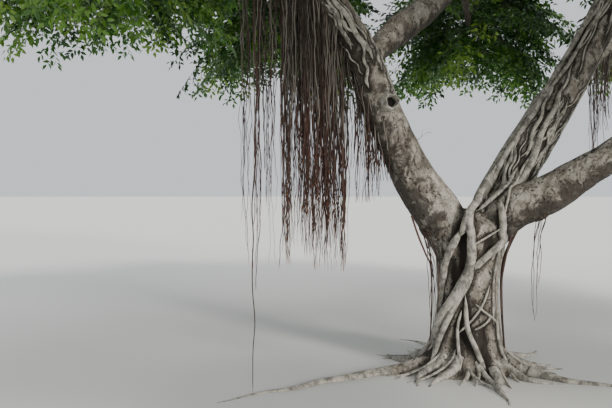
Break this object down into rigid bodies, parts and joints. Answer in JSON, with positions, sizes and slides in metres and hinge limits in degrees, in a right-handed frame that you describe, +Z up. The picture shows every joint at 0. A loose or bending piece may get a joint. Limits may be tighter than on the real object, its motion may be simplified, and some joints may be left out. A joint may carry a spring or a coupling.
{
  "type": "banyan tree",
  "caption": "Spreading fig tree with a root-wrapped trunk on buttress roots, leaning boughs, hanging aerial roots and a domed leafy crown.",
  "frame": {"origin": "on level ground at the middle of the flat cut under the trunk", "axes": "+Z up the trunk, +X to the viewer's right in the picture, +Y away from the viewer"},
  "size_m": [11.6123, 12.1572, 7.8347],
  "materials": {
    "bark": "rough grey-beige bark with dark furrows",
    "aerial_root": "fibrous brown aerial root",
    "foliage": "small glossy green leaves"
  },
  "bodies": {
    "root": {"trunk": "bark", "bough_left": "bark", "bough_middle": "bark", "bough_right": "bark", "bough_back": "bark", "limb_rim_2": "bark", "limb_rim_3": "bark", "limb_rim_4": "bark", "limb_rim_5": "bark", "limb_rim_6": "bark", "limb_rim_7": "bark", "limb_rim_8": "bark", "limb_rim_9": "bark", "limb_middle_3": "bark", "limb_middle_5": "bark", "limb_middle_6": "bark", "limb_top_1": "bark", "limb_top_2": "bark", "limb_top_3": "bark", "aerial_roots_left_outer": "aerial_root", "aerial_roots_left_inner": "aerial_root", "aerial_roots_left_front": "aerial_root", "aerial_roots_left_rear": "aerial_root", "aerial_roots_left_bough": "aerial_root", "aerial_roots_left_foot": "aerial_root", "aerial_roots_right_bough": "aerial_root", "aerial_roots_middle_limb": "aerial_root", "foliage_rim_1": "foliage", "foliage_rim_2": "foliage", "foliage_rim_3": "foliage", "foliage_rim_4": "foliage", "foliage_rim_5": "foliage", "foliage_rim_6": "foliage", "foliage_rim_7": "foliage", "foliage_rim_8": "foliage", "foliage_rim_9": "foliage", "foliage_middle_1": "foliage", "foliage_middle_2": "foliage", "foliage_middle_3": "foliage", "foliage_middle_4": "foliage", "foliage_middle_5": "foliage", "foliage_middle_6": "foliage", "foliage_top_1": "foliage", "foliage_top_2": "foliage", "foliage_top_3": "foliage"}
  },
  "joints": []
}
